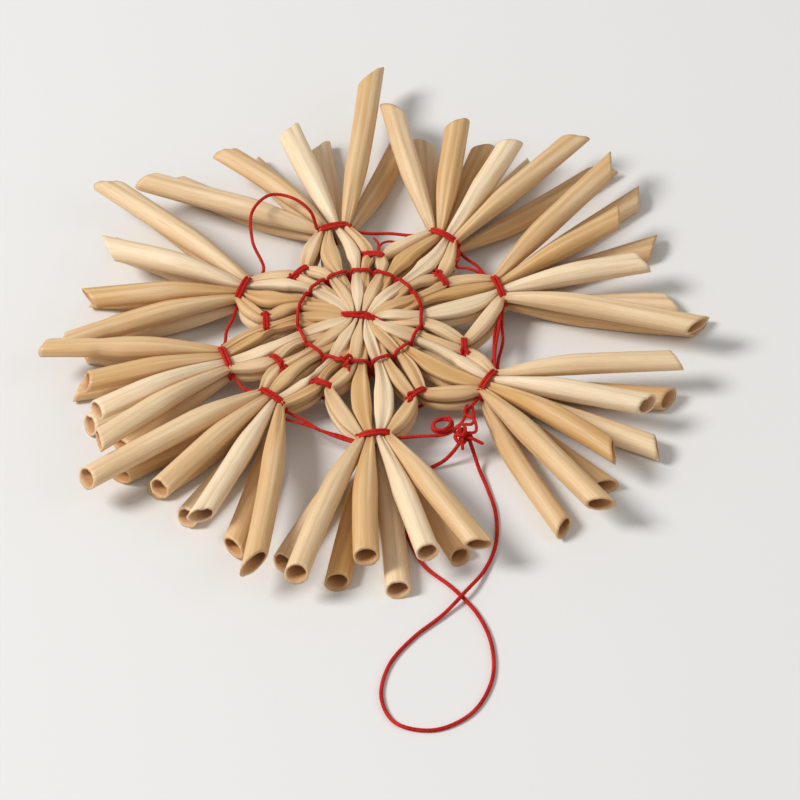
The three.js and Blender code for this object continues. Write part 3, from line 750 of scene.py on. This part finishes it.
def lay_tail(mesh, start, way, length, drop, size, dice):
    """Adds a short cut end that curls away from a knot."""
    bend = left_of(way) * dice.uniform(*TAIL.bend) * length
    risen = start + heading(way) * (TAIL.rises_at * length) + UP * TAIL.rise
    lay_thread(mesh, [start, risen, start + heading(way) * length + bend * TAIL.curl - UP * drop], size)


def centre_tie_mesh(mesh, size):
    half_width = ((BUNDLE.columns - 1) * BUNDLE.pitch + BUNDLE.width) / 2
    half_height = (3 * BUNDLE.row + BUNDLE.height) / 2
    points = wrap_points(BUNDLE.bearing, 0, BUNDLE.bearing, half_width + CENTRE_TIE.beside,
                         half_height + CENTRE_TIE.above, CENTRE_TIE)
    lay_thread(mesh, points, size)
    top = DOME + half_height + STITCH_TOP
    for points, share in ((STITCH, FINER.stitch), (STITCH_END, FINER.stitch_end)):
        lay_thread(mesh, [(x, y, top + z) for x, y, z in points], size * share)


def inner_ring_mesh(mesh, size):
    """Two rounds of one thread: where one passes over a pair of straws the other passes under it."""
    pairs = RAYS // 2
    middle, radius = dome(RING.radius), RING.radius + RING_THREAD.out
    over = stack(RING) + size / 2 - RING_THREAD.top_press
    shoulder = (RING.pitch + RING.width) / 2 - RING_THREAD.side_press
    points = []
    for step in range(2 * pairs):
        bearing = KNOTTED_GAP - (360 / pairs) * (step + 0.5)
        up = -1 if (step % 2 == 0) == (step >= pairs) else 1
        for left, rise in ((shoulder, 0), (0, RING_THREAD.crown), (-shoulder, 0)):
            points.append(place(bearing, radius, left) + UP * (middle + up * (over + rise)))
        swaps = step % pairs == pairs - 1
        gap = place(bearing - 180 / pairs, radius + (0 if swaps else up * RING_THREAD.part * size))
        points.append(gap + UP * (middle + up * (over if swaps else RING_THREAD.dip)))
    lay_thread(mesh, points[:-1], size)
    dice = random.Random(SEEDS.ring)
    knot = place(KNOTTED_GAP, radius) + UP * (middle + over + RING_KNOT.rise)
    lay_knot(mesh, knot, RING_KNOT.reach, size * FINER.ring_knot, spin=RING_KNOT.spin)
    for way, length, drop in RING_TAILS:
        lay_tail(mesh, knot, way, length, drop, size * FINER.ring_tail, dice)


def pair_tie_mesh(mesh, tie, size, dice):
    bearing, radius, way = tie
    half_width, half_height = (PAIR.pitch + PAIR.width) / 2, stack(PAIR)
    points = wrap_points(bearing, radius, way, half_width + PAIR_TIE.beside,
                         half_height + size / 2 + PAIR_TIE.above, PAIR_TIE)
    lay_thread(mesh, points, size)
    side = dice.choice((1, -1))
    knot = place(bearing, radius) + left_of(way) * (side * (half_width - PAIR_KNOT.inset))
    knot += UP * (dome(radius) + half_height * PAIR_KNOT.height)
    facing = (UP + left_of(way) * side).normalized()
    lay_knot(mesh, knot, PAIR_KNOT.reach, size * FINER.pair_knot, facing, dice.uniform(0, 90))
    turned, length = drawn(dice, PAIR_TAIL.turn, PAIR_TAIL.length)
    lay_tail(mesh, knot, way + turned * side, length, PAIR_TAIL.drop, size * FINER.pair_tail, dice)


def strand_points(i, half, over):
    """The strand from one fan's tie to the next."""
    (bearing, radius, *_), (next_bearing, next_radius, *_) = FANS[i], FANS[(i + 1) % len(FANS)]
    start = place(bearing, radius, -half) - UP * STRAND.start
    landing = place(next_bearing, next_radius, half)
    if i in BETWEEN_FANS:
        rise = over * ARCH_LANDING if BETWEEN_FANS[i] is ARCH else 0
        return [start, *BETWEEN_FANS[i], landing + UP * rise]
    first, last = (start.lerp(landing, share) - UP * STRAND.quarter for share in (0.25, 0.75))
    middle = start.lerp(landing, 0.5)
    return [start, first, middle - UP * STRAND.middle + middle.normalized() * STRAND.outwards, last, landing]


def curl_points():
    points = []
    for i in range(CURL.points):
        angle = 2 * math.pi * i / CURL.per_turn + CURL.start
        reach = CURL.radius + CURL.waver[0] * math.sin(i * CURL.waver[1])
        height = CURL.wave[0] * math.sin(i * CURL.wave[1]) + CURL.lift * i
        x, y = math.cos(angle) * reach, math.sin(angle) * reach * CURL.squash
        points.append(CURL.place + Vector((x, y, height)))
    return points


def fan_ties_mesh(mesh, size):
    dice = random.Random(SEEDS.fans)
    half = ((FAN_RAYS - 1) * TIE.pitch + TIE.width) / 2 + FAN_TIE.beside
    over = stack(TIE) + size / 2 + FAN_TIE.above
    for i, (bearing, radius, *_) in enumerate(FANS):
        lay_thread(mesh, wrap_points(bearing, radius, bearing, half, over, FAN_TIE), size)
        lay_thread(mesh, strand_points(i, half, over), size * FINER.strand)
        knot = place(bearing, radius, -half + FAN_KNOT.inset) + UP * (over * FAN_KNOT.height)
        lay_knot(mesh, knot, FAN_KNOT.reach, size * FINER.fan_knot, left_of(bearing), dice.uniform(0, 90))
    for share, points in SLACK:
        lay_thread(mesh, points, size * share)
    lay_thread(mesh, curl_points(), size * FINER.curl)


def loop_knot_mesh(mesh, size):
    for spot, reach, facing, spin in LOOP_KNOTS:
        lay_knot(mesh, spot, reach, size, facing.normalized(), spin)
    dice = random.Random(SEEDS.loop)
    for way, length, drop in LOOP_TAILS:
        lay_tail(mesh, LOOP_KNOT, way, length, drop, size * FINER.loop_tail, dice)


# ---- Materials ----

BUMP_STRENGTH = 0.5
STRAW_BUMP, YARN_BUMP = 0.0001, 0.00005  # in metres
FLUFF, WEAR = 3800.0, 260.0  # features of the yarn per metre


def set_inputs(tree, node, inputs):
    """Sets inputs, by name or number, to a value or by a link from another node's output."""
    for key, value in inputs.items():
        if isinstance(value, bpy.types.NodeSocket):
            tree.links.new(value, node.inputs[key])
        else:
            node.inputs[key].default_value = value


def new_node(tree, kind, inputs=None, **settings):
    node = tree.nodes.new(kind)
    for key, value in settings.items():
        setattr(node, key, value)
    set_inputs(tree, node, inputs or {})
    return node


def blended(tree, share, first, second):
    return new_node(tree, "ShaderNodeMix", {0: share, 6: first, 7: second}, data_type="RGBA").outputs[2]


def ranged(tree, value, low, high, to_low, to_high):
    return new_node(tree, "ShaderNodeMapRange", {0: value, 1: low, 2: high, 3: to_low, 4: to_high}).outputs[0]


def noisy(tree, spot, scale, detail):
    return new_node(tree, "ShaderNodeTexNoise", {"Vector": spot, "Scale": scale, "Detail": detail}).outputs[0]


def grain(tree, around, along, detail=3.0):
    """Noise drawn out along the straw: features per turn around it and per metre along it."""
    uv = new_node(tree, "ShaderNodeUVMap", uv_map="grain").outputs[0]
    spread = new_node(tree, "ShaderNodeMapping", {"Vector": uv, "Scale": (around, along, 1)}).outputs[0]
    return noisy(tree, spread, 1.0, detail)


def bumps(tree, height, distance):
    inputs = {"Strength": BUMP_STRENGTH, "Distance": distance, "Height": height}
    return new_node(tree, "ShaderNodeBump", inputs).outputs[0]


def rgba(colour):
    return (*colour, 1)


def new_material(name):
    material = bpy.data.materials.new(name)
    material.use_nodes = True
    return material, material.node_tree, material.node_tree.nodes["Principled BSDF"]


def straw_material(name, pale, golden, colours):
    """Straw with fibres and bands along it, with painted shade where a thread squeezes it and inside its open
    ends.
    """
    material, tree, shader = new_material(name)
    fibres, bands = grain(tree, around=70, along=300), grain(tree, around=17, along=38, detail=2.0)
    patches = grain(tree, around=3, along=75, detail=2.0)
    # the last two attributes are masks of painted shade: beside a thread and inside the open ends
    tone, shade, painted_bore_shade = (
        new_node(tree, "ShaderNodeAttribute", attribute_name=key).outputs["Fac"]
        for key in ("tone", "shade", "painted_bore_shade")
    )
    own_tone = ranged(tree, tone, -1.6, 1.6, -0.6, 0.5)
    warm = new_node(tree, "ShaderNodeMath", {0: patches, 1: 1.1, 2: own_tone}, operation="MULTIPLY_ADD",
                    use_clamp=True).outputs[0]
    colour = blended(tree, warm, rgba(pale), rgba(golden))
    laid_over = (  # pattern or painted shade mask, where its colour starts and is strongest, the most of it, the colour
        (bands, 0.5, 0.75, 0.45, colours.streak),
        (bands, 0.5, 0.28, 0.35, colours.pale),
        (fibres, 0.5, 0.75, 0.35, colours.streak),
        # painted shade where a thread squeezes the straw
        (shade, 0, 1, 0.45, colours.painted_crease_shade),
        # painted shade inside the open ends of the straw
        (painted_bore_shade, 0, 1, 0.8, colours.painted_bore_shade),
    )
    for pattern, low, high, most, over in laid_over:
        colour = blended(tree, ranged(tree, pattern, low, high, 0, most), colour, rgba(over))
    ridges = new_node(tree, "ShaderNodeMath", {0: fibres, 1: bands}, operation="ADD").outputs[0]
    set_inputs(tree, shader, {
        "Base Color": colour, "Roughness": ranged(tree, fibres, 0.3, 0.7, 0.36, 0.52),
        "Normal": bumps(tree, ridges, STRAW_BUMP), "Specular IOR Level": 0.35,
    })
    return material


def thread_material(name, colours):
    """Matt, slightly fluffy and worn red yarn."""
    material, tree, shader = new_material(name)
    spot = new_node(tree, "ShaderNodeTexCoord").outputs["Object"]
    fluff, wear = noisy(tree, spot, FLUFF, 4.0), noisy(tree, spot, WEAR, 2.0)
    lit, worn = ranged(tree, fluff, 0.35, 0.7, 0, 1), ranged(tree, wear, 0.45, 0.75, 0, 0.35)
    colour = blended(tree, lit, rgba(colours.thread_deep), rgba(colours.thread))
    set_inputs(tree, shader, {
        "Base Color": blended(tree, worn, colour, rgba(colours.thread_light)),
        "Normal": bumps(tree, fluff, YARN_BUMP), "Roughness": 0.85, "Specular IOR Level": 0.2,
        "Sheen Weight": 0.12, "Sheen Tint": rgba(colours.thread_light),
    })
    return material


def floor_material(colour):
    material, tree, shader = new_material("floor")
    set_inputs(tree, shader, {"Base Color": rgba(colour), "Roughness": 0.8})
    return material


# ---- What a user can change ----


def length_property(name, description, millimetres):
    return FloatProperty(name=name, description=description, default=millimetres * MM, unit="LENGTH")


def colour_property(name, description, default):
    return FloatVectorProperty(
        name=name, description=description, subtype="COLOR", min=0, max=1, default=default)


class StrawStarSizes(PropertyGroup):
    wall: length_property("Straw wall", "Thickness of a straw's wall at its cut ends", 0.3)
    thread: length_property("Binding thread", "Diameter of the thread that binds the straws", 0.46)
    loop: length_property("Hanging loop", "Diameter of the hanging loop's thread", 0.5)
    seed: IntProperty(name="Seed", description="Starts the small differences between the straws", default=4)


class StrawStarColours(PropertyGroup):
    pale: colour_property("Pale straw", "The lightest straw colour", (0.93, 0.75, 0.515))
    golden: colour_property("Golden straw", "The warmest straw colour", (0.65, 0.37, 0.135))
    streak: colour_property("Fibres", "Darker fibres along a straw", (0.56, 0.31, 0.12))
    # painted shade: the colour that darkens the straw where a thread squeezes it
    painted_crease_shade: colour_property("Creases", "Where a thread squeezes a straw", (0.42, 0.2, 0.07))
    # painted shade: the darker colour inside a straw's open ends
    painted_bore_shade: colour_property("Inside", "The inside of a straw", (0.58, 0.29, 0.12))
    thread: colour_property("Thread", "The red of the thread", (0.6, 0.022, 0.014))
    thread_deep: colour_property("Thread, deep", "The red between the fibres", (0.36, 0.008, 0.006))
    thread_light: colour_property("Thread, light", "The worn red of the thread", (0.74, 0.075, 0.04))
    floor: colour_property("Floor", "The floor under the star", (0.8, 0.79, 0.77))


def sizes():
    return bpy.context.scene.straw_star_sizes


def colours():
    return bpy.context.scene.straw_star_colours


# The kinds of straw: where their two colours lie between pale, 0, and golden, 1.
SLOTS = {
    "straw_gold": (0.2, 0.9), "straw_tan": (0.5, 1.15), "straw_cream": (-0.05, 0.45),
    "straw_warm": (0.3, 1.0),
}


def slot_material(slot):
    finish = "twisted_yarn" if slot == "red_thread" else slot + "_grain"
    if finish in bpy.data.materials:
        return bpy.data.materials[finish]
    chosen = colours()
    if slot == "red_thread":
        return thread_material(finish, chosen)
    pale, golden = Vector(chosen.pale), Vector(chosen.golden)
    low, high = SLOTS[slot]
    return straw_material(finish, pale.lerp(golden, low), pale.lerp(golden, high), chosen)


def dress(piece, slot, node):
    """Gives a piece its material and its place in the frame, where it replaces a solid."""
    piece.data.materials.append(slot_material(slot))
    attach(piece, "root")
    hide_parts(node)


def thread_piece(name, build, *facts):
    mesh = bmesh.new()
    build(mesh, *facts)
    dress(finished(name + "_yarn", mesh), "red_thread", name)


def add_straws(layer):
    for ray in range(RAYS // 2):
        number = ray + 1 + (0 if layer > 0 else RAYS // 2)
        name = f"straw_{number:02d}"
        seed = sizes().seed * SEEDS.straws_apart + number
        piece = straw_mesh("whole_" + name, ray, layer, sizes().wall / MM, seed)
        dress(piece, list(SLOTS)[(number - 1) % len(SLOTS)], name)


# ---- Stage ----

FLOOR_REACH = 1.5
SKY = 0.4  # strength of the even light all round
LAMPS = (  # name, place, size, power
    ("key", Vector((-0.6, 0.3, 0.7)), 0.35, 7.6),
    ("fill", Vector((0.6, -0.6, 0.6)), 0.8, 1.2),
)
AIM = Vector((-0.0022, -0.0091, 0.002))
VIEW = SimpleNamespace(azimuth=-30.4, elevation=48.1, distance=0.864, roll=-3.2, lens=322)


def add_floor():
    mesh = bmesh.new()
    bmesh.ops.create_grid(mesh, x_segments=1, y_segments=1, size=FLOOR_REACH)
    floor = as_object("floor", mesh)
    floor.data.materials.append(floor_material(colours().floor))


def added_aimed(name, data, spot, way, roll=0.0):
    """Adds a lamp or a camera that looks the given way. Roll is in degrees."""
    made = added(name, data)
    facing = way.to_track_quat("-Z", "Y").to_matrix().to_4x4()
    made.matrix_world = Matrix.Translation(spot) @ facing @ Matrix.Rotation(math.radians(roll), 4, "Z")
    return made


def add_sky(scene):
    scene.world = bpy.data.worlds.new("studio")
    scene.world.use_nodes = True
    tree = scene.world.node_tree
    set_inputs(tree, tree.nodes["Background"], {"Color": (1, 1, 1, 1), "Strength": SKY})


def add_lamp(name, spot, size, power):
    data = bpy.data.lights.new(name, "AREA")
    data.shape = "DISK"
    data.size = size
    data.energy = power
    added_aimed(name, data, spot, -spot)


def add_camera(scene):
    towards = raised(heading(VIEW.azimuth - 90), VIEW.elevation)
    data = bpy.data.cameras.new("view")
    data.lens = VIEW.lens
    data.clip_start = 0.01
    scene.camera = added_aimed("view", data, AIM + towards * VIEW.distance, -towards, VIEW.roll)


# ---- Operators ----


class STRAWSTAR_OT_stage(Operator):
    """Add the floor, the lights and the camera"""

    bl_idname = "straw_star.stage"
    bl_label = "Stage"

    def execute(self, context):
        add_floor()
        for lamp in LAMPS:
            add_lamp(*lamp)
        add_sky(context.scene)
        add_camera(context.scene)
        context.scene.view_settings.view_transform = "Standard"
        return {"FINISHED"}


class STRAWSTAR_OT_hanging_loop(Operator):
    """Add the thread loop that the star hangs by, lying loose"""

    bl_idname = "straw_star.hanging_loop"
    bl_label = "Hanging Loop"

    def execute(self, context):
        diameter = sizes().loop / MM
        mesh = bmesh.new()
        path = lay_thread(mesh, LOOP_ROUTE, diameter)
        piece = finished("hanging_loop_yarn", mesh)
        dress(piece, "red_thread", "hanging_loop")
        path = [tuple((HUB + point) * MM) for point in path]
        return {"FINISHED"}


class STRAWSTAR_OT_straws(Operator):
    """Add the whole straws, the upper layer first"""

    bl_idname = "straw_star.straws"
    bl_label = "Straws"

    def execute(self, context):
        for layer in LAYERS:
            add_straws(layer)
        return {"FINISHED"}


class STRAWSTAR_OT_middle_threads(Operator):
    """Add the stitch round the middle and the ring thread"""

    bl_idname = "straw_star.middle_threads"
    bl_label = "Middle Threads"

    def execute(self, context):
        size = sizes().thread / MM
        thread_piece("centre_tie", centre_tie_mesh, size)
        thread_piece("inner_ring_thread", inner_ring_mesh, size)
        return {"FINISHED"}


class STRAWSTAR_OT_pair_ties(Operator):
    """Add the ties between neighbouring fans"""

    bl_idname = "straw_star.pair_ties"
    bl_label = "Pair Ties"

    def execute(self, context):
        for i, tie in enumerate(PAIR_TIES):
            dice = random.Random(SEEDS.pairs + i)
            thread_piece(f"pair_tie_{i + 1}", pair_tie_mesh, tie, sizes().thread / MM, dice)
        return {"FINISHED"}


class STRAWSTAR_OT_fan_ties(Operator):
    """Add the thread that ties the fans, and the knot of the hanging loop"""

    bl_idname = "straw_star.fan_ties"
    bl_label = "Fan Ties"

    def execute(self, context):
        thread_piece("fan_tie_thread", fan_ties_mesh, sizes().thread / MM)
        thread_piece("loop_knot", loop_knot_mesh, sizes().loop / MM)
        return {"FINISHED"}


STEPS = (
    STRAWSTAR_OT_stage, STRAWSTAR_OT_hanging_loop, STRAWSTAR_OT_straws, STRAWSTAR_OT_middle_threads,
    STRAWSTAR_OT_pair_ties, STRAWSTAR_OT_fan_ties,
)


class STRAWSTAR_PT_build(Panel):
    """Lists the star's sizes, colours and pieces"""

    bl_label = "Straw Star"
    bl_idname = "STRAWSTAR_PT_build"
    bl_space_type = "VIEW_3D"
    bl_region_type = "UI"
    bl_category = "Straw Star"

    def draw(self, context):
        for group in (sizes(), colours()):
            for key in type(group).__annotations__:
                self.layout.prop(group, key)
        for step in STEPS:
            self.layout.operator(step.bl_idname)


CLASSES = (StrawStarSizes, StrawStarColours, *STEPS, STRAWSTAR_PT_build)


def register():
    for cls in CLASSES:
        bpy.utils.register_class(cls)
    bpy.types.Scene.straw_star_sizes = PointerProperty(type=StrawStarSizes)
    bpy.types.Scene.straw_star_colours = PointerProperty(type=StrawStarColours)


def unregister():
    del bpy.types.Scene.straw_star_colours
    del bpy.types.Scene.straw_star_sizes
    for cls in reversed(CLASSES):
        bpy.utils.unregister_class(cls)


def main():
    register()
    bpy.ops.straw_star.stage()
    bpy.ops.straw_star.hanging_loop()
    bpy.ops.straw_star.straws()
    bpy.ops.straw_star.middle_threads()
    bpy.ops.straw_star.pair_ties()
    bpy.ops.straw_star.fan_ties()


if __name__ == "__main__":
    main()
